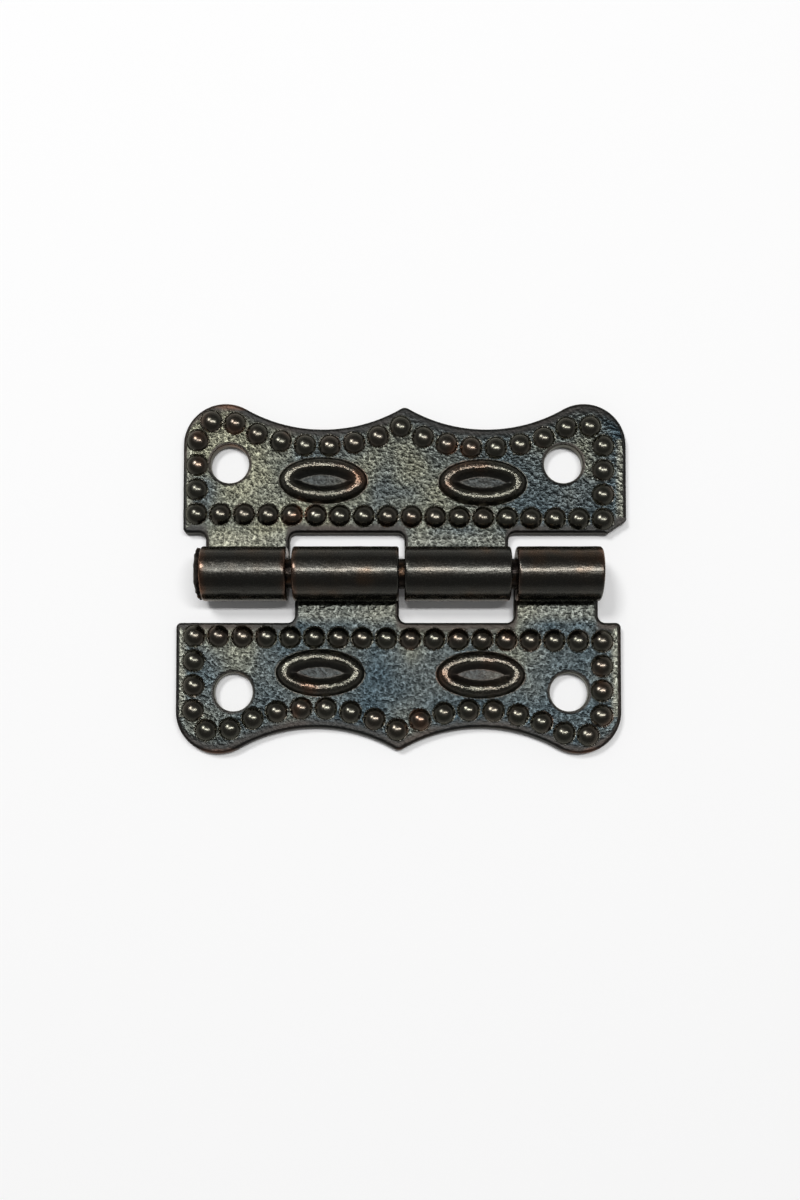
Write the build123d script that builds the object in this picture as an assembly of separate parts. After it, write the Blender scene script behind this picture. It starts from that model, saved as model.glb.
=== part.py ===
from build123d import *
import math
import os

# Decorative box hinge, lying open and flat with its knuckles up.
# X runs along the pin, Y across the leaves and Z up from their backs. The pin lies over the X axis.
# All sizes are in millimetres.

# Sheet, pin and barrel
sheet = 0.75
pin_diameter = 2.0
running_clearance = 0.05  # all round the pin in a knuckle's bore
seam_gap = 0.1  # between a knuckle's rolled end and the front of its leaf
inner_knuckle = 6.9
barrel_inset = 1.75  # from half the width of a leaf to the end of the barrel
knuckle_gap = 0.5
knuckle_bevel = 0.12
head_diameter = 3.4
head_thickness = 0.4
head_bevel = 0.1
pin_end_inset = 0.15  # from the last knuckle's end to the plain end of the pin

# Outline of a leaf
leaf_width = 30.0
leaf_reach = 11.9  # from the pin's axis to the tops of the lobes
hinge_edge = 3.05  # from the pin's axis to the straight edge
lobe_radius = 2.85
scallop_depth = 1.75  # from the tops of the lobes down to the low point of a scallop
tip_drop = 0.17  # from the tops of the lobes down to the point between the scallops, before it is rounded
tip_radius = 0.5
corner_radius = 0.35
notch_radius = 0.5  # where a neck meets the straight edge
edge_bevel = 0.12
outline_shift = 0.21  # the outline stands this much off the middle of the barrel
nick_width = 1.3  # a corner broken off one leaf
nick_depth = 0.85

# Screw holes
hole_diameter = 2.6
hole_spacing = 22.6
hole_reach = 7.75  # from the pin's axis
hole_shift = -0.15  # the pair stands this much off the middle of the beaded border
hole_bevel = 0.12

# Stamped ornament
bead_diameter = 1.46
bead_height = 0.38
bead_pitch = 1.64
bead_inset = 1.25  # from the outline to the middles of the beads
bead_row = 4.15  # from the pin's axis to the straight row of beads
bead_sides = 12
bead_bands = 2
oval_x = 5.4
oval_reach = 6.53
oval_length = 6.0
oval_width = 3.2
oval_height = 0.45
crest_length = 4.75
crest_width = 2.0
crest_flat = 0.12
floor_length = 3.2
floor_width = 0.75
stamp_tilt = -0.75  # degrees that the ornament is turned on the leaf
upper_border_shift = -0.2  # the beads and holes stand this much off the middle of the barrel
lower_border_shift = 0.18

same_place = 0.001  # points closer than this are one

# Sizes that follow
bore_radius = pin_diameter / 2 + running_clearance
barrel_radius = bore_radius + sheet
half_width = leaf_width / 2
barrel_half = half_width - barrel_inset
outer_knuckle = barrel_half - inner_knuckle - 1.5 * knuckle_gap
lobe_x = half_width - lobe_radius
lobe_y = leaf_reach - lobe_radius
lobe_rise = lobe_radius - scallop_depth  # from the middle of a lobe up to the low point of a scallop
tip_rise = scallop_depth - tip_drop
steepness = tip_rise / scallop_depth
spread = lobe_x**2 + steepness * (lobe_radius**2 - lobe_rise**2) + tip_rise**2
scallop_run = spread / (lobe_x + math.sqrt(lobe_x**2 - (1 - steepness) * spread))
scallop_x = lobe_x - scallop_run
scallop_radius = (scallop_run**2 + lobe_rise**2 - lobe_radius**2) / (2 * scallop_depth)
scallop_y = leaf_reach - scallop_depth + scallop_radius
scallop_lean = math.atan2(scallop_run, scallop_y - lobe_y)
tip_lean = math.asin(scallop_x / scallop_radius)


# One half of the scalloped outline: a straight side, a lobe and a scallop that meets its twin in a point
def half_outline():
    lean = math.degrees(scallop_lean)
    side = Line((half_width, hinge_edge), (half_width, lobe_y))
    lobe = CenterArc((lobe_x, lobe_y), lobe_radius, 0, 90 + lean)
    scallop = CenterArc((scallop_x, scallop_y), scallop_radius, lean - 90, -lean - math.degrees(tip_lean))
    return [side, lobe, scallop]


# The spans along X of the two knuckles that one leaf carries
def knuckle_spans():
    outer_start = -barrel_half
    inner_start = knuckle_gap / 2
    return [(outer_start, outer_start + outer_knuckle), (inner_start, inner_start + inner_knuckle)]


# The vertices of a flat face on the straight edge, at the given places along X
def on_edge(face, places):
    return [
        v for v in face.vertices()
        if abs(v.Y - hinge_edge) < same_place and min(abs(v.X - x) for x in places) < same_place
    ]


# The flat blank, with its necks cut short under the barrel
def blank(nicked):
    right = half_outline()
    left = [mirror(edge, about=Plane.YZ) for edge in right]
    base = Line((-half_width, hinge_edge), (half_width, hinge_edge))
    face = make_face(right + left + [base])
    tip = [v for v in face.vertices() if abs(v.X) < same_place and v.Y > hinge_edge + same_place]
    face = Pos(outline_shift, 0) * fillet(tip, tip_radius)
    far_left = outline_shift - half_width
    far_right = outline_shift + half_width
    if nicked:
        broken = Polyline(
            (far_right, hinge_edge), (far_right, hinge_edge + nick_depth), (far_right - nick_width, hinge_edge),
            close=True,
        )
        face -= make_face(broken)
    face = fillet(on_edge(face, [far_left, far_right]), corner_radius)
    for start, end in knuckle_spans():
        neck = Rectangle(end - start, hinge_edge - bore_radius, align=(Align.MIN, Align.MIN))
        face += Pos(start, bore_radius) * neck
    sides = [x for span in knuckle_spans() for x in span]
    return fillet(on_edge(face, sides), notch_radius)


# The sheet itself, with its front edges rolled over by the press
def plate(nicked):
    body = extrude(blank(nicked), sheet)
    front = [e for e in body.edges().group_by(Axis.Z)[-1] if e.center().Y > bore_radius + same_place]
    return chamfer(front, edge_bevel)


# A knuckle: the sheet runs under the pin, rolls back over it and ends just above the leaf
def knuckle(start, end):
    length = end - start
    roll = chamfer(Cylinder(barrel_radius, length).edges().filter_by(GeomType.CIRCLE), knuckle_bevel)
    roll -= Cylinder(bore_radius, length)
    roll = Pos((start + end) / 2, 0, barrel_radius) * Rot(0, 90, 0) * roll
    close = math.asin((barrel_radius - sheet - seam_gap) / barrel_radius)
    reach = 2 * barrel_radius
    mouth = Polyline(
        (0, 0), (0, -reach), (reach, -reach), (reach, -reach * math.tan(close)),
        close=True,
    )
    mouth = Plane((start, 0, barrel_radius), x_dir=(0, 1, 0), z_dir=(1, 0, 0)) * make_face(mouth)
    roll -= extrude(mouth, length)
    foot = Box(length, bore_radius, sheet, align=(Align.MIN, Align.MIN, Align.MIN))
    return roll + Pos(start, 0, 0) * foot


# A round bead as a dome of flat facets, standing on the front of the sheet
def bead():
    base_radius = bead_diameter / 2
    ball_radius = (base_radius**2 + bead_height**2) / (2 * bead_height)
    foot = math.acos(base_radius / ball_radius)
    rings = []
    for band in range(bead_bands):
        lift = foot + (math.pi / 2 - foot) * band / bead_bands
        ring_radius = ball_radius * math.cos(lift)
        ring_height = sheet + ball_radius * (math.sin(lift) - math.sin(foot))
        turns = [2 * math.pi * i / bead_sides for i in range(bead_sides)]
        rings.append([(ring_radius * math.cos(a), ring_radius * math.sin(a), ring_height) for a in turns])
    crown = (0, 0, sheet + bead_height)
    facets = [rings[0]]
    for i in range(bead_sides):
        for lower, upper in zip(rings, rings[1:]):
            facets.append([lower[i - 1], lower[i], upper[i], upper[i - 1]])
        facets.append([rings[-1][i - 1], rings[-1][i], crown])
    return Solid(Shell([Face(Wire.make_polygon(points)) for points in facets]))


# A point on the right half of the bead line, as far along it as run from the corner beside the pin
def flank_point(run):
    side = lobe_y - bead_row
    lobe_line = lobe_radius - bead_inset
    scallop_line = scallop_radius + bead_inset
    lobe_turn = math.pi / 2 + scallop_lean
    if run <= side:
        return (half_width - bead_inset, bead_row + run)
    turn = (run - side) / lobe_line
    if turn <= lobe_turn:
        return (lobe_x + lobe_line * math.cos(turn), lobe_y + lobe_line * math.sin(turn))
    swing = scallop_lean - (run - side - lobe_line * lobe_turn) / scallop_line
    return (scallop_x + scallop_line * math.sin(swing), scallop_y - scallop_line * math.cos(swing))


# The places of all beads on a leaf: a straight row beside the pin, and a line that follows the outline
def bead_places():
    row_half = half_width - bead_inset
    row_steps = round(2 * row_half / bead_pitch)
    places = [(row_half * (2 * i / row_steps - 1), bead_row) for i in range(row_steps + 1)]
    scallop_line = scallop_radius + bead_inset
    flank = lobe_y - bead_row
    flank += (lobe_radius - bead_inset) * (math.pi / 2 + scallop_lean)
    flank += scallop_line * (scallop_lean + math.asin(scallop_x / scallop_line))
    steps = round(flank / bead_pitch)
    for i in range(1, steps):
        x, y = flank_point(flank * i / steps)
        places += [(x, y), (-x, y)]
    return places + [flank_point(flank)]


# An eye-shaped outline of two arcs
def eye(length, width):
    upper = ThreePointArc((-length / 2, 0), (0, width / 2), (length / 2, 0))
    lower = ThreePointArc((length / 2, 0), (0, -width / 2), (-length / 2, 0))
    return make_face([upper, lower])


# An oval ring with sloping sides and a narrow crest, round an eye-shaped floor
def oval():
    base = Ellipse(oval_length / 2, oval_width / 2)
    crest = Pos(0, 0, oval_height) * Ellipse(crest_length / 2, crest_width / 2)
    floor = eye(floor_length, floor_width)
    rim = Pos(0, 0, oval_height) * eye(crest_length - 2 * crest_flat, crest_width - 2 * crest_flat)
    return Pos(0, 0, sheet) * (loft([base, crest], ruled=True) - loft([floor, rim], ruled=True))


def screw_hole():
    bevel = Cone(
        hole_diameter / 2, hole_diameter / 2 + hole_bevel, hole_bevel,
        align=(Align.CENTER, Align.CENTER, Align.MAX),
    )
    return Cylinder(hole_diameter / 2, 4 * sheet) + Pos(0, 0, sheet) * bevel


# One leaf: the sheet with its two knuckles, its ornament and its screw holes
def leaf(nicked, border_shift):
    stamp = Rot(0, 0, stamp_tilt)
    raised = [Pos(border_shift, 0, 0) * stamp * Pos(x, y, 0) * bead() for x, y in bead_places()]
    raised += [stamp * Pos(x, oval_reach, 0) * oval() for x in (-oval_x, oval_x)]
    rolls = [knuckle(start, end) for start, end in knuckle_spans()]
    body = plate(nicked).fuse(*rolls, *raised)
    for side in (-1, 1):
        body -= Pos(border_shift + hole_shift + side * hole_spacing / 2, hole_reach, 0) * screw_hole()
    return body


# The pin, with a head beaten flat against the first knuckle
def hinge_pin():
    length = 2 * barrel_half - pin_end_inset
    shank = Pos(-barrel_half, 0, 0) * Rot(0, 90, 0) * Cylinder(
        pin_diameter / 2, length, align=(Align.CENTER, Align.CENTER, Align.MIN)
    )
    head = Cylinder(head_diameter / 2, head_thickness, align=(Align.CENTER, Align.CENTER, Align.MAX))
    head = chamfer(head.edges().group_by(Axis.Z)[0], head_bevel)
    return Pos(0, 0, barrel_radius) * (shank + Pos(-barrel_half, 0, 0) * Rot(0, 90, 0) * head)


nodes = {
    "upper_leaf": leaf(nicked=True, border_shift=upper_border_shift),
    "lower_leaf": Rot(0, 0, 180) * leaf(nicked=False, border_shift=lower_border_shift),
    "hinge_pin": hinge_pin(),
}
os.makedirs("parts", exist_ok=True)
for name, solid in nodes.items():
    export_step(solid, f"parts/{name}.step")
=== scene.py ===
import math
import random

import bpy
import numpy as np
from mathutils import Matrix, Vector, kdtree, noise
from mathutils.geometry import delaunay_2d_cdt


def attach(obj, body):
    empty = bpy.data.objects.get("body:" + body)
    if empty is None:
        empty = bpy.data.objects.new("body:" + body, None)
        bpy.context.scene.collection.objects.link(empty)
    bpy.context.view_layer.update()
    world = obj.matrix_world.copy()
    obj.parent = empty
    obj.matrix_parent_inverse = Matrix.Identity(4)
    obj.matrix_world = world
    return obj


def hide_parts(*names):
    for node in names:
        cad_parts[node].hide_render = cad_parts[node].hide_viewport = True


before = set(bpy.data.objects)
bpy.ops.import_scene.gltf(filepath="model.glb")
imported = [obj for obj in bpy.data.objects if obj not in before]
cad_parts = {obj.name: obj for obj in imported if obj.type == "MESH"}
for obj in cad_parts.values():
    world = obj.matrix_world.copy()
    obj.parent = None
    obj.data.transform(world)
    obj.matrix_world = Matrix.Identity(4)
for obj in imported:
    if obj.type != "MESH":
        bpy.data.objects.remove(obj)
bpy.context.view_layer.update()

mm = 0.001  # shapes are worked out in millimetres and written in metres
crispAngle = 38  # degrees; edges that bend more than this aren't shaded smooth


# Shapes of the flat blank

leafValues = {  # millimetres and degrees, for both leaves
    "sheet": 0.75,
    "boreRadius": 1.05,
    "rollAngle": 301.85,  # how far a knuckle is rolled round the pin
    "outerKnuckle": 5.66,
    "innerKnuckle": 7.02,
    "knuckleGap": 0.38,
    "width": 30.0,
    "reach": 11.9,
    "hingeEdge": 3.05,
    "lobeRadius": 2.85,
    "scallopDepth": 1.75,  # below the tops of the lobes
    "tipDrop": 0.17,
    "tipRadius": 0.5,
    "cornerRadius": 0.35,
    "notchRadius": 0.5,
    "tabCorner": 0.25,
    "outlineShift": 0.21,
    "borderShift": {"upper": -0.2, "lower": 0.18},  # how far beads and holes stand off on each leaf
    "seed": {"upper": 11, "lower": 23},
    "nickWidth": 1.3,  # of the corner that has broken off
    "nickDepth": 0.85,
    "nickCorner": 0.25,
    "nickRagged": 0.07,
    "nickJags": 1.7,  # to the millimetre
    "nickStrip": 0.1,
    "rollOver": 0.2,  # front edge, drawn down by the press
    "plainEdge": 0.06,  # front edge of the tabs and the break
    "backEdge": 0.06,
    "knuckleEdge": 0.16,
    "holeEdge": 0.13,
    "leastEdge": 0.01,  # where a bead stands against a cut
    "edgeRoom": 0.03,
    "holeDiameter": 2.6,
    "holeSpacing": 22.6,
    "holeReach": 7.75,
    "holeShift": -0.15,
    "beadDiameter": 1.46,
    "beadHeight": 0.38,
    "beadUneven": (0.96, 1.03),  # times that height
    "beadDent": 0.012,
    "beadDents": 2.6,  # to the millimetre
    "beadPitch": 1.64,
    "beadInset": 1.25,
    "beadRow": 4.15,
    "ovalX": 5.4,
    "ovalReach": 6.53,
    "ovalLength": 6.0,
    "ovalWidth": 3.2,
    "ovalHeight": 0.45,
    "ovalUneven": 0.03,  # share of that height
    "ovalWaves": 2.2,  # to the millimetre
    "ovalSwell": 2.6,  # the higher, the fuller the outer flank
    "crestLength": 4.75,
    "crestWidth": 2.0,
    "crestFlat": 0.12,
    "crestBare": (0.5, 0.95),  # shares of the height between which an oval comes clear of its oxide
    "flankBare": (0.5, 0.2),  # how clear its outer and inner flanks are below that; their darkness is oxide and painted shade, most on the inner walls
    "floorLength": 3.2,
    "floorWidth": 0.75,
    "floorDarkness": 0.6,  # the eyes are nearly as dark as the margins, which have 1
    "stampTilt": -0.75,
    "dimpleDiameter": 0.9,  # behind each bead
    "dimpleDepth": 0.16,
    "marginFade": (0.35, 0.8),  # smooth margin along the outline, and where it has gone
    "sideTurn": (0.5, 0.95),  # from a slanting to an upright run of the outline
    "sideFade": 0.35,  # share of that margin left along the two sides
    "neckFade": (2.7, 3.1),  # no margin on the necks
    "neckPale": (2.6, 3.2),  # painted light on the necks, where the barrel shades them: pale up to here, and where that has gone
    "sidePale": (0.5, 0.8),  # the same in from the sides, which are paler still
    "sideShare": 1.6,  # of the necks' paleness
    "sideEnd": 0.4,  # past the start of the lobes
    "holeFade": (0.13, 0.22),  # smooth margin round the holes
    "rubbedEnd": 1.3,  # bare metal in from the ends of the knuckles
    "rubbedLobe": (0.1, 1.3),  # and on the lobes, below their tops
    "grainSize": 0.36,
    "grainDepth": 0.014,
    "fineGrain": (2.1, 0.6),  # how many times finer the second grain is, and its share
    "grainCalm": 0.7,  # share of the grain that is gone on the margins
    "boreUneven": 0.012,
    "boreWaves": (0.9, 1.6),  # to the millimetre
    "fieldStart": 1.0,  # where the finer mesh of the front begins, from the foot of the barrel
    "backStart": 0.2,  # and the coarser one of the back
    "fieldSpacing": 0.085,  # between mesh points, as the next three
    "tabSpacing": 0.28,
    "backSpacing": 0.4,
    "boreSpacing": 0.17,
    "holeRoom": 0.05,  # between those points and the rim of a hole
    "edgeStep": 0.15,  # at most, along the outline
    "edgeTurn": 10.0,
}
noiseLayer = {"break": 2, "oval": 3, "bore": 4, "bead": 7, "fineGrain": 9}  # so that no two patterns match


def arcPoints(cx, cy, radius, start, end):
    turn = math.radians(end - start)
    byLength = math.ceil(abs(turn) * radius / leafValues["edgeStep"])
    byAngle = math.ceil(abs(end - start) / leafValues["edgeTurn"])
    count = max(byLength, byAngle, 2)
    angles = [math.radians(start) + turn * i / count for i in range(count + 1)]
    return [(cx + radius * math.cos(a), cy + radius * math.sin(a)) for a in angles]


# rounds the corner between two straight runs
def roundedCorner(before, corner, after, radius):
    corner = Vector(corner)
    back = (Vector(before) - corner).normalized()
    ahead = (Vector(after) - corner).normalized()
    half = back.angle(ahead) / 2
    centre = corner + (back + ahead).normalized() * radius / math.sin(half)
    start = corner + back * radius / math.tan(half) - centre
    turn = math.degrees(start.angle_signed(corner + ahead * radius / math.tan(half) - centre))
    first = math.degrees(math.atan2(start.y, start.x))
    return arcPoints(centre.x, centre.y, radius, first, first - turn)


def spread(points):  # puts more points on the long straight runs of a loop
    slack = 0.01  # leaves runs of one step whole
    full = []
    for a, b in zip(points, points[1:] + points[:1]):
        parts = max(1, math.ceil(math.dist(a, b) / leafValues["edgeStep"] - slack))
        for i in range(parts):
            full.append((a[0] + (b[0] - a[0]) * i / parts, a[1] + (b[1] - a[1]) * i / parts))
    return full


def knuckleSpans():
    v = leafValues
    barrelHalf = v["outerKnuckle"] + v["innerKnuckle"] + 1.5 * v["knuckleGap"]  # and half of three gaps
    return [
        (-barrelHalf, v["outerKnuckle"] - barrelHalf),
        (v["knuckleGap"] / 2, v["knuckleGap"] / 2 + v["innerKnuckle"]),
    ]


def scallopShape():  # place, radius and lean of the hollow between a lobe and the middle point
    v = leafValues
    lobeX = v["width"] / 2 - v["lobeRadius"]
    rise, tipRise = v["lobeRadius"] - v["scallopDepth"], v["scallopDepth"] - v["tipDrop"]
    steep = tipRise / v["scallopDepth"]
    reach = lobeX**2 + steep * (v["lobeRadius"]**2 - rise**2) + tipRise**2
    run = reach / (lobeX + math.sqrt(lobeX**2 - (1 - steep) * reach))
    radius = (run**2 + rise**2 - v["lobeRadius"]**2) / (2 * v["scallopDepth"])
    return lobeX - run, v["reach"] - v["scallopDepth"] + radius, radius, math.atan2(run, radius + rise)


def rollRadius():  # middle of the sheet in a knuckle
    return leafValues["boreRadius"] + leafValues["sheet"] / 2


def tabEnd():
    return -math.radians(leafValues["rollAngle"]) * rollRadius()


# the whole outline of the blank before its tabs are rolled, anticlockwise
def blankOutline(nicked):
    v = leafValues
    half, edge, shift = v["width"] / 2, v["hingeEdge"], v["outlineShift"]
    lobeX, lobeY = half - v["lobeRadius"], v["reach"] - v["lobeRadius"]
    centreX, centreY, radius, lean = scallopShape()
    tipY = centreY - math.sqrt((radius + v["tipRadius"])**2 - centreX**2)
    tipAngle = math.degrees(math.atan2(centreY - tipY, centreX))
    lean = math.degrees(lean)
    right = arcPoints(lobeX, lobeY, v["lobeRadius"], 0, 90 + lean)
    right += arcPoints(centreX, centreY, radius, lean - 90, tipAngle - 180)[1:]
    right += arcPoints(0, tipY, v["tipRadius"], tipAngle, 90)[1:]
    crown = right + [(-x, y) for x, y in reversed(right[:-1])]
    crown = [(x + shift, y) for x, y in crown]
    corners = [(shift - half, edge, v["cornerRadius"])]
    for start, end in knuckleSpans():
        corners += [(start, edge, v["notchRadius"]), (start, tabEnd(), v["tabCorner"])]
        corners += [(end, tabEnd(), v["tabCorner"]), (end, edge, v["notchRadius"])]
    if nicked:
        corners.append((shift + half - v["nickWidth"], edge, v["nickCorner"]))
        corners.append((shift + half, edge + v["nickDepth"], v["nickCorner"]))
    else:
        corners.append((shift + half, edge, v["cornerRadius"]))
    places = [crown[-1]] + [(x, y) for x, y, r in corners] + [crown[0]]
    base = []
    for i, (x, y, r) in enumerate(corners):
        base += roundedCorner(places[i], (x, y), places[i + 2], r)
    outline = np.array(spread(crown + base))
    jags, layer = v["nickJags"], noiseLayer["break"]  # the broken edge is uneven
    jag = np.array([noise.noise((x * jags, y * jags, layer)) for x, y in outline])
    jag = jag * v["nickRagged"] * (onBreak(outline) * nicked)
    return outline + np.stack([-jag, jag], 1)


# 1 along the line where a corner has broken off, fading out two to three strips away from it
def onBreak(outline):
    v = leafValues
    strip = v["nickStrip"]
    x = outline[:, 0] - v["outlineShift"] - v["width"] / 2
    y = outline[:, 1] - v["hingeEdge"]
    off = np.abs(y - v["nickDepth"] * (1 + x / v["nickWidth"]))
    return np.clip(3 - off / strip, 0, 1) * (x > -v["nickWidth"] - strip) * (y < v["nickDepth"] + strip)


def beadPlaces(shift):
    v = leafValues
    half, inset = v["width"] / 2, v["beadInset"]
    lobeX, lobeY = half - v["lobeRadius"], v["reach"] - v["lobeRadius"]
    centreX, centreY, radius, lean = scallopShape()
    rowHalf = half - inset
    rowSteps = round(2 * rowHalf / v["beadPitch"])
    places = [(rowHalf * (2 * i / rowSteps - 1), v["beadRow"]) for i in range(rowSteps + 1)]
    side = lobeY - v["beadRow"]
    lobeLine, scallopLine = v["lobeRadius"] - inset, radius + inset
    lobeTurn = math.pi / 2 + lean
    flank = side + lobeLine * lobeTurn + scallopLine * (lean + math.asin(centreX / scallopLine))
    steps = round(flank / v["beadPitch"])
    for i in range(1, steps + 1):  # up the side, round the lobe and along the scallop to the middle
        run = flank * i / steps
        if run <= side:
            x, y = rowHalf, v["beadRow"] + run
        elif run <= side + lobeLine * lobeTurn:
            turn = (run - side) / lobeLine
            x, y = lobeX + lobeLine * math.cos(turn), lobeY + lobeLine * math.sin(turn)
        else:
            swing = lean - (run - side - lobeLine * lobeTurn) / scallopLine
            x, y = centreX + scallopLine * math.sin(swing), centreY - scallopLine * math.cos(swing)
        places += [(x, y), (-x, y)] if i < steps else [(x, y)]
    return [tilted(x, y, shift) for x, y in places]


def tilted(x, y, shift=0.0):  # the ornament stands a little askew on the leaf
    a = math.radians(leafValues["stampTilt"])
    return shift + x * math.cos(a) - y * math.sin(a), x * math.sin(a) + y * math.cos(a)


def ellipsePoint(length, width, angle):
    return length / 2 * math.cos(angle), width / 2 * math.sin(angle)


def eyePoint(length, width, angle):  # two arcs that meet in points
    a, b = length / 2, width / 2
    arc = (a * a + b * b) / (2 * b)
    x = a * math.cos(angle)
    return x, math.copysign(math.sqrt(arc * arc - x * x) - (arc - b), math.sin(angle))


# The leaves as meshes: the flat blank is skinned front and back, then its tabs are rolled up

# adds points to a sheet under work and gives their numbers
def addPoints(sheet, places, depths, relief=0.0, rim=0.0):
    first = len(sheet["points"])
    sheet["points"] += [(x, y, w) for (x, y), w in zip(places, depths)]
    for mark, value in (("relief", relief), ("rim", rim)):
        sheet[mark] += value if isinstance(value, list) else [value] * len(places)
    return list(range(first, len(sheet["points"])))


# 1 on the smooth margin along the outline and round the holes, 0 on the sandy field and the necks
def onMargin(sheet, x, y):
    v = leafValues
    number, off = sheet["edge"].find((x, y, 0))[1:]
    reach = np.interp(sheet["side"][number], v["sideTurn"], (1, v["sideFade"]))
    along = np.interp(off / reach, v["marginFade"], (1, 0)) * np.interp(y, v["neckFade"], (0, 1))
    hole = min(math.dist((x, y), place) for place in sheet["holes"]) - v["holeDiameter"] / 2
    return float(max(along, np.interp(hole, v["holeFade"], (1, 0))))


def outward(loop):  # normals of a loop that runs with its material on the left, longer at corners
    ahead = np.roll(loop, -1, 0) - loop
    ahead /= np.linalg.norm(ahead, axis=1)[:, None]
    normal = np.stack([ahead[:, 1], -ahead[:, 0]], 1)
    before = np.roll(normal, 1, 0)
    return (normal + before) / (1 + (normal * before).sum(1))[:, None]


# the wall of a cut edge, rounded to the front and to the back, and rubbed bare between if asked
def edgeWall(sheet, loop, frontRound, backRound, rubbed=0.0):
    thick = leafValues["sheet"]
    frontSteps, backSteps, rubbedFrom = 4, 3, 0.4
    normal = outward(loop)
    steps = [(k / frontSteps, True) for k in range(frontSteps + 1)]
    steps += [(1 - k / backSteps, False) for k in range(backSteps + 1)]
    rings = []
    for part, front in steps:
        lean = math.pi / 2 * part
        size = frontRound if front else backRound
        places = loop - normal * (size * (1 - math.sin(lean)))[:, None]
        fall = size * (1 - math.cos(lean))
        depths = thick - fall if front else fall
        bare = rubbed if part > rubbedFrom else 0.0
        rings.append(addPoints(sheet, places.tolist(), depths.tolist(), bare, 1.0 - bare))
    for a, b in zip(rings, rings[1:]):
        for i in range(len(a)):
            j = (i + 1) % len(a)
            sheet["faces"].append((a[i], b[i], b[j], a[j]))
    return rings[0], rings[-1]


# the middle of each screw hole, and how far its loop lies from there by angle
def holeShapes(sheet, loops):
    shapes = []
    for loop, middle in zip(loops, sheet["holes"]):
        off = np.array([sheet["points"][i][:2] for i in loop]) - middle
        shapes.append((middle, np.arctan2(off[:, 1], off[:, 0]), np.hypot(off[:, 0], off[:, 1])))
    return shapes


def inHole(hole, x, y, room=0.0):
    middle, angles, reach = hole
    away = math.dist((x, y), middle) - room
    turn = math.atan2(y - middle[1], x - middle[0])
    return away < reach.max() and away < np.interp(turn, angles, reach, period=2 * math.pi)


# triangles over everything inside the first loop, except in the screw holes, whose loops come next
def skin(sheet, loops, loose, facing):
    insideOnly, tolerance = 1, 1e-7
    holes = holeShapes(sheet, loops[1:])
    used = [i for loop in loops for i in loop] + loose
    place = {point: k for k, point in enumerate(used)}
    edges = [(place[a], place[b]) for loop in loops for a, b in zip(loop, loop[1:] + loop[:1])]
    flat = [Vector(sheet["points"][i][:2]) for i in used]
    faces, origins = delaunay_2d_cdt(flat, edges, [], insideOnly, tolerance)[2:4]
    numbers = [used[group[0]] for group in origins]
    for face in faces:
        a, b, c = (numbers[k] for k in face)
        x = sum(sheet["points"][k][0] for k in (a, b, c)) / 3
        y = sum(sheet["points"][k][1] for k in (a, b, c)) / 3
        if any(inHole(hole, x, y) for hole in holes):
            continue
        sheet["faces"].append((a, b, c) if facing > 0 else (c, b, a))


# even loose points in a box, kept off the points that are there already
def fillPoints(sheet, taken, box, step, keep=None):
    rowRatio, clearance = 0.866, 0.7  # rows of even triangles, and room as a share of a step
    left, low, right, high = box
    tree = kdtree.KDTree(len(taken))
    for k, i in enumerate(taken):
        tree.insert((*sheet["points"][i][:2], 0), k)
    tree.balance()
    found = []
    for row in range(int((high - low) / (step * rowRatio)) + 1):
        y = low + row * step * rowRatio
        for column in range(int((right - left) / step) + 1):
            x = left + (column + 0.5 * (row % 2)) * step
            if (keep is None or keep(x, y)) and tree.find((x, y, 0))[2] > step * clearance:
                found.append((x, y))
    return found


# each bead is a dome of rings round a crown; gives the rings at the feet, and the points inside them
def frontBeads(sheet, rand):
    v = leafValues
    ball = (v["beadDiameter"]**2 / 4 + v["beadHeight"]**2) / (2 * v["beadHeight"])
    footAngle = math.acos((ball - v["beadHeight"]) / ball)
    footRing, dents = 6, v["beadDents"]
    rings = ((footRing, 28), (5.4, 28), (4.6, 28), (3.6, 24), (2.6, 20), (1.5, 12), (0, 1))
    feet, domes = [], []
    for x, y in sheet["beads"]:
        high = rand.uniform(*v["beadUneven"])
        spin = rand.uniform(0, 1)
        for ring, count in rings:
            lean = footAngle * ring / footRing
            out = ball * math.sin(lean)
            turns = [2 * math.pi * (i + spin) / count for i in range(count)]
            places = [(x + out * math.cos(a), y + out * math.sin(a)) for a in turns]
            rise = high * (ball * math.cos(lean) - ball + v["beadHeight"])
            dent = v["beadDent"] * (ring < footRing)
            depths = []
            for p, q in places:
                uneven = dent * noise.noise((p * dents, q * dents, noiseLayer["bead"]))
                depths.append(v["sheet"] + rise + uneven)
            points = addPoints(sheet, places, depths, relief=1.0)
            if ring == footRing:
                feet.append(points)
            else:
                domes += points
    return feet, domes


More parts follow.
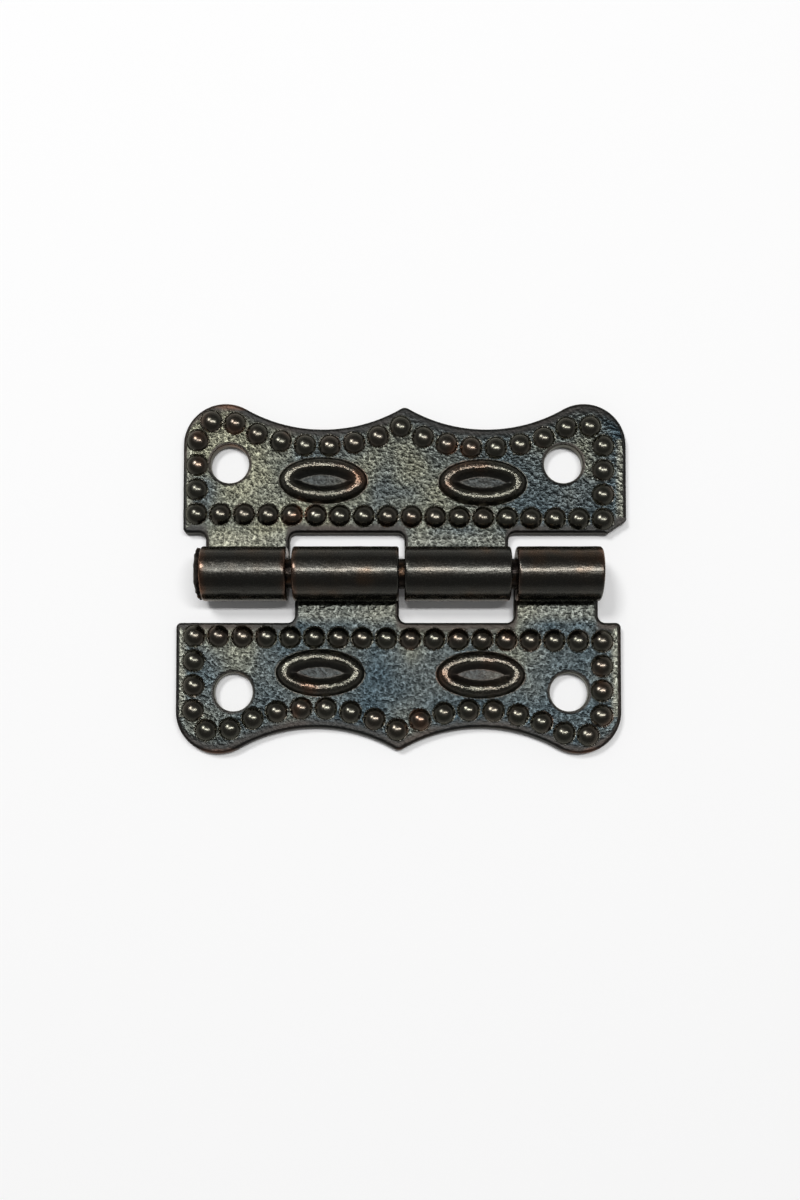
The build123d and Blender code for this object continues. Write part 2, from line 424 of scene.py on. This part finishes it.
# each oval runs from its foot over a broad crest down to an eye-shaped floor
def frontOvals(sheet):
    v = leafValues
    count, waves = 80, v["ovalWaves"]
    outerSteps = (1, 0.93, 0.8, 0.62, 0.42, 0.24, 0.1, 0)  # shares of the way out from the crest
    # and shares of the way in from it, with the height there
    innerSteps = ((0, 0.98), (0.12, 0.85), (0.4, 0.54), (0.68, 0.24), (0.92, 0.03), (1, 0.0))
    rings = [(0, 1 - off, 1 - off**v["ovalSwell"]) for off in outerSteps]
    rings += [(1, part, rise) for part, rise in innerSteps]
    loops = []
    for middle in sheet["ovals"]:
        for inner, part, rise in rings:
            places, depths = [], []
            flat = 2 * v["crestFlat"] * inner
            for i in range(count):
                a = 2 * math.pi * i / count
                crest = ellipsePoint(v["crestLength"] - flat, v["crestWidth"] - flat, a)
                if inner:
                    start, end = crest, eyePoint(v["floorLength"], v["floorWidth"], a)
                else:
                    start, end = ellipsePoint(v["ovalLength"], v["ovalWidth"], a), crest
                p, q = tilted(start[0] + (end[0] - start[0]) * part, start[1] + (end[1] - start[1]) * part)
                places.append((middle[0] + p, middle[1] + q))
            for p, q in places:
                uneven = v["ovalUneven"] * noise.noise((p * waves, q * waves, noiseLayer["oval"]))
                depths.append(v["sheet"] + v["ovalHeight"] * (rise + uneven * rise))
            bare = np.interp(rise, v["crestBare"], (v["flankBare"][inner], 1.0))  # oxide and painted shade stay on the flanks
            loops.append(addPoints(sheet, places, depths, relief=bare, rim=1.0))
    return loops


# whether a loose point may stand here: off the holes, the beads and the slopes of the ovals
def onField(sheet, holes, x, y):
    v = leafValues
    floorFit = 1.1  # loose points fill an ellipse this much smaller than an eye
    if y < v["fieldStart"] or any(inHole(hole, x, y, v["holeRoom"]) for hole in holes):
        return False
    if any(math.dist((x, y), bead) < v["beadDiameter"] / 2 for bead in sheet["beads"]):
        return False
    for middle in sheet["ovals"]:
        p, q = 2 * (x - middle[0]), 2 * (y - middle[1])
        toFoot = math.hypot(p / v["ovalLength"], q / v["ovalWidth"])
        toFloor = floorFit * math.hypot(p / v["floorLength"], q / v["floorWidth"])
        if toFoot < 1 and toFloor > 1:
            return False
    return True


def frontFace(sheet, outer, holeLoops, rand):
    v = leafValues
    feet, loose = frontBeads(sheet, rand)
    loops = [outer, *holeLoops, *feet, *frontOvals(sheet)]
    taken = [i for loop in loops for i in loop]
    holes = holeShapes(sheet, holeLoops)
    fieldBox = (-sheet["span"], v["fieldStart"], sheet["span"], v["reach"])
    tabBox = (-sheet["span"], tabEnd(), sheet["span"], v["fieldStart"])
    field = fillPoints(sheet, taken, fieldBox, v["fieldSpacing"], lambda x, y: onField(sheet, holes, x, y))
    tabs = fillPoints(sheet, taken, tabBox, v["tabSpacing"])

    size, seed = v["grainSize"], sheet["seed"]
    finer, share = v["fineGrain"]
    smooth, depths = [], []
    for x, y in field:
        inEye = min(math.dist((x, y), middle) for middle in sheet["ovals"]) < v["floorLength"] / 2
        still = v["floorDarkness"] if inEye else onMargin(sheet, x, y)
        grain = noise.noise((x / size, y / size, seed))
        grain += share * noise.noise((finer * x / size, finer * y / size, seed + noiseLayer["fineGrain"]))
        smooth.append(still)
        depths.append(v["sheet"] + v["grainDepth"] * grain * (1 - v["grainCalm"] * still))
    loose += addPoints(sheet, field, depths, rim=smooth)
    loose += addPoints(sheet, tabs, [v["sheet"]] * len(tabs))
    skin(sheet, loops, loose, 1)


def backFace(sheet, outer, holeLoops):
    v = leafValues
    dimpleRings = ((1, 16, 0), (0.8, 16, 0.3), (0.5, 12, 0.78), (0.25, 6, 0.96), (0, 1, 1))
    grooveRings = ((0.35, 0), (0.2, 0.5), (0, 1), (-0.2, 0.5), (-0.35, 0))
    grooveCount = 64
    loops, loose = [outer, *holeLoops], []
    for x, y in sheet["beads"]:  # a shallow dimple behind each bead
        for ring, count, fall in dimpleRings:
            size = ring * v["dimpleDiameter"] / 2
            turns = [2 * math.pi * i / count for i in range(count)]
            places = [(x + size * math.cos(a), y + size * math.sin(a)) for a in turns]
            points = addPoints(sheet, places, [fall * v["dimpleDepth"]] * count)
            if ring == 1:
                loops.append(points)
            else:
                loose += points
    for middle in sheet["ovals"]:  # and a groove behind each oval
        for off, fall in grooveRings:
            places = []
            for i in range(grooveCount):
                a = 2 * math.pi * i / grooveCount
                p, q = tilted(*ellipsePoint(v["crestLength"] + 2 * off, v["crestWidth"] + 2 * off, a))
                places.append((middle[0] + p, middle[1] + q))
            loops.append(addPoints(sheet, places, [fall * v["dimpleDepth"]] * grooveCount))
    taken = [i for loop in loops for i in loop] + loose
    plainBox = (-sheet["span"], v["backStart"], sheet["span"], v["reach"])
    boreBox = (-sheet["span"], tabEnd(), sheet["span"], v["backStart"])
    plain = fillPoints(sheet, taken, plainBox, v["backSpacing"])
    bore = fillPoints(sheet, taken, boreBox, v["boreSpacing"])
    along, across = v["boreWaves"]
    layer = sheet["seed"] + noiseLayer["bore"]
    uneven = [v["boreUneven"] * noise.noise((x * along, y * across, layer)) for x, y in bore]
    loose += addPoints(sheet, plain, [0.0] * len(plain))
    loose += addPoints(sheet, bore, uneven)
    skin(sheet, loops, loose, -1)


# 1 where plating rubs off: at the ends of the knuckles and on the tops of the lobes
def wornPlaces(points):
    v = leafValues
    onKnuckle = 0.5  # up to here from the foot of the barrel
    x, y = points[:, 0], points[:, 1]
    ends = [end for span in knuckleSpans() for end in span]
    toEnd = np.abs(x[:, None] - np.array(ends)[None, :]).min(1)
    knuckle = np.interp(toEnd, (0, v["rubbedEnd"]), (1, 0)) * (y < onKnuckle)
    lobe = np.interp(v["reach"] - y, v["rubbedLobe"], (1, 0))
    return np.maximum(knuckle, lobe)


# 1 on the necks, where light is painted on under the barrel, and more along the sides of the leaf
def litAndPalePlaces(points):
    v = leafValues
    x, y = points[:, 0], points[:, 1]
    neck = np.interp(y, v["neckPale"], (1, 0))
    toSide = v["width"] / 2 - np.abs(x - v["outlineShift"])
    belowLobe = y < v["reach"] - v["lobeRadius"] + v["sideEnd"]
    side = np.interp(toSide, v["sidePale"], (v["sideShare"], 0)) * belowLobe
    return np.maximum(neck, side)


# wraps everything on the pin's side of the barrel's foot round the pin, and marks what is rolled
def rolledUp(points):
    blend = 0.2  # each side of the foot
    x, y, w = points.T
    outer = leafValues["boreRadius"] + leafValues["sheet"]
    turn = -y / rollRadius()
    rolled = y < 0
    return np.stack([
        x,
        np.where(rolled, -(outer - w) * np.sin(turn), y),
        np.where(rolled, outer - (outer - w) * np.cos(turn), w),
    ], 1), np.interp(y, (-blend, blend), (1, 0))


def meshPiece(name, points, faces, marks):
    mesh = bpy.data.meshes.new(name)
    mesh.from_pydata((np.asarray(points) * mm).tolist(), [], faces)
    for mark, values in marks.items():
        mesh.attributes.new(mark, "FLOAT", "POINT").data.foreach_set("value", np.asarray(values, np.float32))
    mesh.shade_smooth()
    mesh.set_sharp_from_angle(angle=math.radians(crispAngle))
    mesh.validate()
    piece = bpy.data.objects.new(name, mesh)
    bpy.context.scene.collection.objects.link(piece)
    return piece


def beadGap(sheet, loop):  # room for a rounded edge between a cut line and the beads
    gap = [min(math.dist(p, bead) for bead in sheet["beads"]) for p in loop.tolist()]
    return np.array(gap) - leafValues["beadDiameter"] / 2 - leafValues["edgeRoom"]


def makeLeaf(name, nicked, turned, shift, seed):
    v = leafValues
    tabRise, tabRun = 0.6, 1.2  # where the edges of the tabs turn into those of the leaf
    rand = random.Random(seed)
    outline = blankOutline(nicked)
    holeX = shift + v["holeShift"]
    sheet = {
        "points": [], "faces": [], "relief": [], "rim": [],
        "seed": seed,
        "span": v["width"] / 2 + v["outlineShift"],
        "beads": beadPlaces(shift),
        "ovals": [tilted(side * v["ovalX"], v["ovalReach"]) for side in (-1, 1)],
        "holes": [(holeX + side * v["holeSpacing"] / 2, v["holeReach"]) for side in (-1, 1)],
        "edge": kdtree.KDTree(len(outline)),
        "side": np.abs(outward(outline)[:, 0]),  # 1 where the outline runs along a side
    }
    for i, (x, y) in enumerate(outline.tolist()):
        sheet["edge"].insert((x, y, 0), i)
    sheet["edge"].balance()
    flat = np.clip((outline[:, 1] - tabRise) / tabRun, 0, 1)  # 1 on the leaf, 0 on its tabs
    flat *= 1 - onBreak(outline) * nicked
    frontRound = v["plainEdge"] + (v["rollOver"] - v["plainEdge"]) * flat
    frontRound = np.clip(beadGap(sheet, outline), v["leastEdge"], frontRound)
    backRound = v["knuckleEdge"] + (v["backEdge"] - v["knuckleEdge"]) * flat
    fronts, backs = [], []
    front, back = edgeWall(sheet, outline, frontRound, backRound)
    fronts.append(front)
    backs.append(back)
    for x, y in sheet["holes"]:
        rim = np.array(arcPoints(x, y, v["holeDiameter"] / 2, 360, 0)[:-1])
        frontRound = np.clip(beadGap(sheet, rim), v["leastEdge"], v["holeEdge"])
        front, back = edgeWall(sheet, rim, frontRound, np.full(len(rim), v["backEdge"]), 1.0)
        fronts.append(front)
        backs.append(back)
    frontFace(sheet, fronts[0], fronts[1:], rand)
    firstBack = len(sheet["points"])
    backFace(sheet, backs[0], backs[1:])
    used = sorted({i for face in sheet["faces"] for i in face})
    renumber = {old: new for new, old in enumerate(used)}
    faces = [tuple(renumber[i] for i in face) for face in sheet["faces"]]
    blank = np.array([sheet["points"][i] for i in used])
    points, roll = rolledUp(blank)
    if turned:
        points[:, :2] *= -1
    piece = meshPiece(name, points, faces, {
        "relief": [sheet["relief"][i] for i in used],
        "rim": [sheet["rim"][i] for i in used],
        "wear": wornPlaces(blank),
        "roll": roll,
        "neck": litAndPalePlaces(blank),
        "back": [1.0 if i >= firstBack else 0.0 for i in used],
    })
    print("leaf", name, "points", len(points), "faces", len(faces))
    return piece


shifts, seeds = leafValues["borderShift"], leafValues["seed"]
upperLeaf = makeLeaf("upper_leaf_stamping", True, False, shifts["upper"], seeds["upper"])
lowerLeaf = makeLeaf("lower_leaf_stamping", False, True, shifts["lower"], seeds["lower"])


# The pin

pinValues = {  # millimetres
    "diameter": 2.0,
    "barrelHalf": 13.25,
    "endInset": 0.15,
    "endRound": 0.12,
    "endFlat": 0.4,  # innermost ring of the plain end
    "headDiameter": 3.4,
    "headThickness": 0.4,
    "headRagged": 0.12,
    "headBite": (0.6, -0.4),  # dents and general loss round the rim, as shares of that
    "headLift": 0.7,  # lumps of its face, the same way
    "headLumps": 3.0,  # the higher, the closer they stand
    "height": 1.8,
    "sides": 56,
    "shankRings": 54,
    "shankStart": 0.5,
    "seed": 5,
}


def makePin(name):
    v = pinValues
    rand = random.Random(v["seed"])
    count = v["sides"]
    left, right = -v["barrelHalf"], v["barrelHalf"] - v["endInset"]
    shank, head = v["diameter"] / 2, v["headDiameter"] / 2
    face = left - v["headThickness"]
    underHead = left - 0.05  # past here the head lies flat on the knuckle
    profile = [  # along the pin, radius, how ragged
        (face, 0.35, 0.3),
        (face + 0.02, 0.8, 0.5),
        (face + 0.03, head - 0.35, 0.7),
        (face + 0.09, head - 0.12, 1),
        (face + 0.19, head, 1),
        (left - 0.06, head - 0.03, 0.8),
        (left, head - 0.12, 0.2),
        (left, shank, 0),
    ]
    shankEnd = right - v["endRound"]
    profile += [(x, shank, 0) for x in np.linspace(left + v["shankStart"], shankEnd, v["shankRings"])]
    profile += [(right - 0.05, shank - 0.05, 0), (right, shank - v["endRound"], 0), (right, v["endFlat"], 0)]
    dents = [rand.uniform(-1, 1) for i in range(count)]
    dented, lost = v["headBite"]
    lumps = v["headLumps"]
    points, faces, worn = [(face, 0, v["height"])], [], [0.0]
    for x, r, ragged in profile:
        rough = v["headRagged"] * ragged
        for i in range(count):
            a = 2 * math.pi * i / count
            wide = r + rough * (dented * dents[i] + lost)
            lump = noise.noise((lumps * math.cos(a), lumps * math.sin(a), r * 2))
            lift = rough * v["headLift"] * lump if x < underHead else 0.0
            points.append((x + lift, wide * math.cos(a), v["height"] + wide * math.sin(a)))
            worn.append(ragged)
    points.append((right, 0, v["height"]))
    worn.append(0.0)
    last = len(points) - 1
    tail = 1 + (len(profile) - 1) * count
    for i in range(count):
        j = (i + 1) % count
        faces.append((0, 1 + j, 1 + i))
        for k in range(len(profile) - 1):
            a, b = 1 + k * count, 1 + (k + 1) * count
            faces.append((a + i, a + j, b + j, b + i))
        faces.append((tail + i, tail + j, last))
    piece = meshPiece(name, points, faces, {"head": worn})
    print("pin", name, "points", len(points), "faces", len(faces))
    return piece


hingePin = makePin("hinge_pin_wire")

for piece, node, body, slot in (
    (upperLeaf, "upper_leaf", "upper_half", "leaf_bronze"),
    (lowerLeaf, "lower_leaf", "lower_half", "leaf_bronze"),
    (hingePin, "hinge_pin", "upper_half", "pin_bronze"),
):
    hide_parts(node)
    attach(piece, body)


# Materials

def toLinear(code):
    parts = [int(code[i:i + 2], 16) / 255 for i in (1, 3, 5)]
    return tuple(c / 12.92 if c <= 0.04045 else ((c + 0.055) / 1.055)**2.4 for c in parts) + (1.0,)


# adds a node, sets its options and fills or links its inputs
def addNode(tree, kind, inputs=None, stops=None, **options):
    node = tree.nodes.new(kind)
    for key, value in options.items():
        setattr(node, key, value)
    for key, value in (inputs or {}).items():
        if isinstance(value, bpy.types.NodeSocket):
            tree.links.new(value, node.inputs[key])
        else:
            node.inputs[key].default_value = value
    if stops:
        ramp = node.color_ramp
        while len(ramp.elements) < len(stops):
            ramp.elements.new(0.5)
        for element, (place, colour) in zip(ramp.elements, stops):
            element.position = place
            element.color = toLinear(colour)
    return node


def startMaterial(name):
    material = bpy.data.materials.new(name)
    material.use_nodes = True
    material.node_tree.nodes.clear()
    return material, material.node_tree


bronzeValues = {  # sizes in millimetres
    "grain": 0.26,
    "patch": 5.5,
    "blotch": 2.6,
    "speck": 0.12,  # real pits are finer; they are drawn this coarse to show
    "scuff": (0.5, 0.14, 0.14),  # streaks along the barrel
    "hueAndLightDrift": (-0.007, 0.007, 0.0),  # of the tint over each millimetre: patina hue, and painted light that is brighter towards the pin's head and the upper leaf
    "fieldTint": [(0.3, "#364147"), (0.5, "#484d4d"), (0.7, "#656558")],
    # painted light: the necks get this paler tint under the barrel, the sides more of it
    "litPaleTint": "#79796f",
    "litPaleShare": 0.45,
    "sand": [(0.36, "#626260"), (0.5, "#a6a6a2"), (0.63, "#f6f6f4")],
    "sandShare": 0.8,
    "marginOxide": [(0.42, "#2e2e2d"), (0.6, "#35312e")],
    "reliefOxide": [(0.45, "#54534b"), (0.6, "#58524a"), (0.76, "#705646")],
    "rollOxide": [(0.42, "#454440"), (0.58, "#4a4640"), (0.76, "#5f4c3c")],
    "copper": "#745341",
    "copperFrom": (0.36, 0.6),
    "copperShare": 0.7,
    "glint": "#edece7",  # oxide takes a little off the gloss at flat angles
    "fieldRough": 0.31,
    "marginRough": 0.42,
    "beadRough": 0.23,
    "ovalRough": 0.24,
    "rollRough": 0.25,
    "roughUneven": 0.04,
    "bumpDepth": 0.07,
    "bumpLeft": 0.07,  # share of the sand that is left on smooth places
    "marginCover": 0.6,
    "scuffShare": 0.11,
    "pitShare": 0.4,
}


# Antique bronze plating on pressed steel: oxidised nearly black, sandy and paler between the ornament,
# smooth and dark on beads, rings and knuckles, rubbed to copper where hands and boxes touch it
# light is painted paler on the necks and the left of the field, and shade on the ovals' flanks
def pressedBronze():
    v = bronzeValues
    material, tree = startMaterial("antique_bronze_plated_steel_pressed")
    place = addNode(tree, "ShaderNodeTexCoord").outputs["Object"]
    inMm = addNode(tree, "ShaderNodeVectorMath", {0: place, "Scale": 1 / mm}, operation="SCALE").outputs[0]
    marks = {}
    for mark in ("relief", "rim", "wear", "roll", "neck", "back"):
        marks[mark] = addNode(tree, "ShaderNodeAttribute", attribute_name=mark).outputs["Fac"]
    smooth = addNode(tree, "ShaderNodeMath", {
        0: marks["roll"], 1: marks["back"]}, operation="MAXIMUM").outputs[0]
    grain = addNode(tree, "ShaderNodeTexNoise", {
        "Vector": inMm, "Scale": 1 / v["grain"], "Detail": 1.0, "Roughness": 0.6}).outputs[0]
    patch = addNode(tree, "ShaderNodeTexNoise", {
        "Vector": inMm, "Scale": 1 / v["patch"], "Detail": 2.0}).outputs[0]
    blotch = addNode(tree, "ShaderNodeTexNoise", {
        "Vector": inMm, "Scale": 1 / v["blotch"], "Detail": 2.0}).outputs[0]
    speck = addNode(tree, "ShaderNodeTexNoise", {
        "Vector": inMm, "Scale": 1 / v["speck"], "Detail": 1.0}).outputs[0]
    streaks = addNode(tree, "ShaderNodeVectorMath", {
        0: inMm, 1: tuple(1 / size for size in v["scuff"])}, operation="MULTIPLY").outputs[0]
    scuff = addNode(tree, "ShaderNodeTexNoise", {
        "Vector": streaks, "Scale": 1.0, "Detail": 2.0}).outputs[0]

    # sandy field: grey metal with dark pits, yellower towards the pin's head and bluer away from it, and
    # painted light, brighter towards the pin's head and the upper leaf and darker away
    across = addNode(tree, "ShaderNodeVectorMath", {0: inMm, 1: v["hueAndLightDrift"]}, operation="DOT_PRODUCT")
    shade = addNode(tree, "ShaderNodeMath", {
        0: patch, 1: across.outputs["Value"]}, operation="ADD").outputs[0]
    tint = addNode(tree, "ShaderNodeValToRGB", {0: shade}, v["fieldTint"]).outputs[0]
    # painted light: paler tint on the necks under the barrel, and along the sides
    pale = addNode(tree, "ShaderNodeMath", {
        0: marks["neck"], 1: v["litPaleShare"]}, operation="MULTIPLY").outputs[0]
    tint = addNode(tree, "ShaderNodeMix", {
        "Factor": pale, 6: tint, 7: toLinear(v["litPaleTint"])}, data_type="RGBA").outputs[2]
    sand = addNode(tree, "ShaderNodeValToRGB", {0: grain}, v["sand"]).outputs[0]
    field = addNode(tree, "ShaderNodeMix", {
        "Factor": v["sandShare"], 6: tint, 7: sand}, data_type="RGBA", blend_type="MULTIPLY").outputs[2]

    # smooth oxide on the margins, the ornament and the knuckles, with copper where it is worn, and painted
    # shade on the ovals' flanks
    edge = addNode(tree, "ShaderNodeValToRGB", {0: patch}, v["marginOxide"]).outputs[0]
    dark = addNode(tree, "ShaderNodeValToRGB", {0: blotch}, v["reliefOxide"]).outputs[0]
    rolled = addNode(tree, "ShaderNodeValToRGB", {0: blotch}, v["rollOxide"]).outputs[0]
    rub = addNode(tree, "ShaderNodeMath", {0: blotch, 1: marks["wear"]}, operation="MULTIPLY").outputs[0]
    low, high = v["copperFrom"]
    rub = addNode(tree, "ShaderNodeMapRange", {
        0: rub, 1: low, 2: high, 3: 0.0, 4: v["copperShare"]}).outputs[0]
    colour = field
    for share, layer in (
        (marks["rim"], edge),
        (marks["relief"], dark),
        (smooth, rolled),
        (rub, toLinear(v["copper"])),
    ):
        colour = addNode(tree, "ShaderNodeMix", {
            "Factor": share, 6: colour, 7: layer}, data_type="RGBA").outputs[2]

    rough = addNode(tree, "ShaderNodeMix", {
        0: marks["rim"], 2: v["fieldRough"], 3: v["marginRough"]}).outputs[0]
    raised = addNode(tree, "ShaderNodeMix", {
        0: marks["rim"], 2: v["beadRough"], 3: v["ovalRough"]}).outputs[0]
    rough = addNode(tree, "ShaderNodeMix", {0: marks["relief"], 2: rough, 3: raised}).outputs[0]
    rough = addNode(tree, "ShaderNodeMix", {0: smooth, 2: rough, 3: v["rollRough"]}).outputs[0]
    uneven = addNode(tree, "ShaderNodeMapRange", {
        0: speck, 1: 0.3, 2: 0.7, 3: -v["roughUneven"], 4: v["roughUneven"]}).outputs[0]
    rough = addNode(tree, "ShaderNodeMath", {0: rough, 1: uneven}, operation="ADD").outputs[0]

    # sand on the field, faint scuffs along the barrel, small pits on the ovals, hardly anything on the beads
    covered = addNode(tree, "ShaderNodeMath", {
        0: marks["relief"], 1: smooth}, operation="MAXIMUM").outputs[0]
    onMargins = addNode(tree, "ShaderNodeMath", {
        0: marks["rim"], 1: v["marginCover"]}, operation="MULTIPLY").outputs[0]
    covered = addNode(tree, "ShaderNodeMath", {0: covered, 1: onMargins}, operation="MAXIMUM").outputs[0]
    depth = addNode(tree, "ShaderNodeMapRange", {0: covered, 3: 1.0, 4: v["bumpLeft"]}).outputs[0]
    height = addNode(tree, "ShaderNodeMath", {0: grain, 1: depth}, operation="MULTIPLY").outputs[0]
    ovals = addNode(tree, "ShaderNodeMath", {
        0: marks["relief"], 1: marks["rim"]}, operation="MULTIPLY").outputs[0]
    for pattern, where, share in ((scuff, smooth, v["scuffShare"]), (speck, ovals, v["pitShare"])):
        there = addNode(tree, "ShaderNodeMath", {0: pattern, 1: where}, operation="MULTIPLY").outputs[0]
        height = addNode(tree, "ShaderNodeMath", {
            0: there, 1: share, 2: height}, operation="MULTIPLY_ADD").outputs[0]
    bump = addNode(tree, "ShaderNodeBump", {
        "Height": height, "Distance": v["bumpDepth"] * mm, "Strength": 1.0}).outputs[0]
    shader = addNode(tree, "ShaderNodeBsdfPrincipled", {
        "Base Color": colour, "Roughness": rough, "Metallic": 1.0, "Normal": bump,
        "Specular Tint": toLinear(v["glint"]),
    }).outputs[0]
    addNode(tree, "ShaderNodeOutputMaterial", {"Surface": shader})
    return material


wireValues = {  # sizes in millimetres
    "blotch": 0.8,
    "speck": 0.12,  # as on the leaves, coarser than real to show
    "oxide": [(0.35, "#1f1c1b"), (0.55, "#2e2925"), (0.72, "#56402f")],
    "glint": "#edece7",
    "shankRough": 0.3,
    "headRough": 0.55,
    "bumpDepth": 0.04,
    "bumpStrength": 0.6,
}


# Drawn steel wire, plated with the leaves: nearly black, its beaten head rough and matt
def drawnWire():
    v = wireValues
    material, tree = startMaterial("antique_bronze_plated_steel_wire_drawn")
    place = addNode(tree, "ShaderNodeTexCoord").outputs["Object"]
    inMm = addNode(tree, "ShaderNodeVectorMath", {0: place, "Scale": 1 / mm}, operation="SCALE").outputs[0]
    head = addNode(tree, "ShaderNodeAttribute", attribute_name="head").outputs["Fac"]
    blotch = addNode(tree, "ShaderNodeTexNoise", {
        "Vector": inMm, "Scale": 1 / v["blotch"], "Detail": 3.0}).outputs[0]
    speck = addNode(tree, "ShaderNodeTexNoise", {
        "Vector": inMm, "Scale": 1 / v["speck"], "Detail": 2.0}).outputs[0]
    colour = addNode(tree, "ShaderNodeValToRGB", {0: blotch}, v["oxide"]).outputs[0]
    rough = addNode(tree, "ShaderNodeMapRange", {
        0: head, 3: v["shankRough"], 4: v["headRough"]}).outputs[0]
    bump = addNode(tree, "ShaderNodeBump", {
        "Height": speck, "Distance": v["bumpDepth"] * mm, "Strength": v["bumpStrength"]}).outputs[0]
    shader = addNode(tree, "ShaderNodeBsdfPrincipled", {
        "Base Color": colour, "Roughness": rough, "Metallic": 1.0, "Normal": bump,
        "Specular Tint": toLinear(v["glint"]),
    }).outputs[0]
    addNode(tree, "ShaderNodeOutputMaterial", {"Surface": shader})
    return material


leafBronze = pressedBronze()
for leaf in (upperLeaf, lowerLeaf):
    leaf.data.materials.append(leafBronze)
hingePin.data.materials.append(drawnWire())
print("materials on", [p.name for p in (upperLeaf, lowerLeaf, hingePin)])


# Studio

studioValues = {  # metres and degrees
    "floorHalf": 4.0,
    "floorDrop": 0.00002,
    "paper": "#f8f8f8",
    "paperLift": (0.03, 0.25),  # beside the hinge, and far off where the paper runs up into the walls
    "paperReach": (0.12, 0.9),
    "keyDistance": 0.5,
    "keySize": (0.36, 0.046),
    "keyLean": (9.0, 6.0),  # to the right and over the upper leaf
    "keyLevel": 0.55,  # brightness that it gives a white card
    "fillDistance": 0.6,
    "fillSize": (0.14, 0.14),
    "fillLean": (-24.0, 22.0),
    "fillLevel": 0.39,
    "walls": "#ffffff",
    "wallLevel": 0.4,
    "ceilingLevel": 0.13,
    "wallHeight": (0.25, 0.5),  # sines of the angles at which the walls give way to the ceiling
}


def makeStudio():
    v = studioValues
    half, drop = v["floorHalf"], v["floorDrop"]
    mesh = bpy.data.meshes.new("paper_floor")
    corners = [(x * half, y * half, -drop) for x, y in ((-1, -1), (1, -1), (1, 1), (-1, 1))]
    mesh.from_pydata(corners, [], [(0, 1, 2, 3)])
    floor = bpy.data.objects.new("paper_floor", mesh)
    bpy.context.scene.collection.objects.link(floor)
    material, tree = startMaterial("white_paper_matt")  # matt white sheet, seen as plain white
    light = addNode(tree, "ShaderNodeLightPath").outputs
    seen = light["Is Camera Ray"]
    for ray in ("Is Glossy Ray", "Is Transmission Ray"):
        seen = addNode(tree, "ShaderNodeMath", {0: seen, 1: light[ray]}, operation="MAXIMUM").outputs[0]
    place = addNode(tree, "ShaderNodeTexCoord").outputs["Object"]
    away = addNode(tree, "ShaderNodeVectorMath", {0: place}, operation="LENGTH").outputs["Value"]
    lift = addNode(tree, "ShaderNodeMapRange", {
        0: away, 1: v["paperReach"][0], 2: v["paperReach"][1], 3: v["paperLift"][0], 4: v["paperLift"][1],
    }, interpolation_type="SMOOTHSTEP").outputs[0]
    lift = addNode(tree, "ShaderNodeMath", {0: seen, 1: lift}, operation="MULTIPLY").outputs[0]
    matt = addNode(tree, "ShaderNodeBsdfDiffuse", {"Color": toLinear(v["paper"])}).outputs[0]
    glow = addNode(tree, "ShaderNodeEmission", {"Strength": lift}).outputs[0]
    both = addNode(tree, "ShaderNodeAddShader", {0: matt, 1: glow}).outputs[0]
    addNode(tree, "ShaderNodeOutputMaterial", {"Surface": both})
    mesh.materials.append(material)

    world = bpy.data.worlds.new("studio_room")
    world.use_nodes = True
    tree = world.node_tree
    tree.nodes.clear()
    # pale walls all round under a dimmer ceiling
    toRoom = addNode(tree, "ShaderNodeTexCoord").outputs["Generated"]
    height = addNode(tree, "ShaderNodeSeparateXYZ", {0: toRoom}).outputs["Z"]
    level = addNode(tree, "ShaderNodeMapRange", {
        0: height, 1: v["wallHeight"][0], 2: v["wallHeight"][1], 3: v["wallLevel"], 4: v["ceilingLevel"],
    }, interpolation_type="SMOOTHSTEP").outputs[0]
    room = addNode(tree, "ShaderNodeBackground", {
        "Color": toLinear(v["walls"]), "Strength": level}).outputs[0]
    addNode(tree, "ShaderNodeOutputWorld", {"Surface": room})
    bpy.context.scene.world = world

    for name in ("key", "fill"):
        lamp = bpy.data.lights.new(name + "_softbox", "AREA")
        lamp.shape = "RECTANGLE"
        lamp.size, lamp.size_y = v[name + "Size"]
        lamp.energy = v[name + "Level"] * math.pi**2 * v[name + "Distance"]**2
        softbox = bpy.data.objects.new(name + "_softbox", lamp)
        bpy.context.scene.collection.objects.link(softbox)
        leanX, leanY = (math.radians(a) for a in v[name + "Lean"])
        away = Vector((math.tan(leanX), math.tan(leanY), 1)).normalized()
        softbox.location = away * v[name + "Distance"]
        softbox.rotation_euler = (-leanY, leanX, 0)  # its long side stays along the barrel


# Camera: nearly overhead, a hand's width away, a little towards the lower leaf
cameraValues = {  # metres and degrees
    "distance": 0.075,
    "lens": 32.8,  # millimetres
    "rayLean": 12.5,  # of the line from the hinge to the camera
    "axisLean": 2.0,  # of the lens itself
    "aim": (0.0, 0.0, 0.00075),
    "shiftX": -0.0014,
    "shiftY": 0.15,
    "clipStart": 0.004,
}


def makeCamera():
    v = cameraValues
    camera = bpy.data.objects.new("camera", bpy.data.cameras.new("camera"))
    bpy.context.scene.collection.objects.link(camera)
    camera.data.lens = v["lens"]
    camera.data.clip_start = v["clipStart"]
    camera.data.shift_x = v["shiftX"]
    camera.data.shift_y = v["shiftY"]
    lean = math.radians(v["rayLean"])
    camera.location = Vector(v["aim"]) + Vector((0, -math.sin(lean), math.cos(lean))) * v["distance"]
    camera.rotation_euler = (math.radians(v["axisLean"]), 0, 0)
    bpy.context.scene.camera = camera


makeStudio()
makeCamera()
bpy.context.scene.view_settings.view_transform = "Standard"
print("studio and camera set")
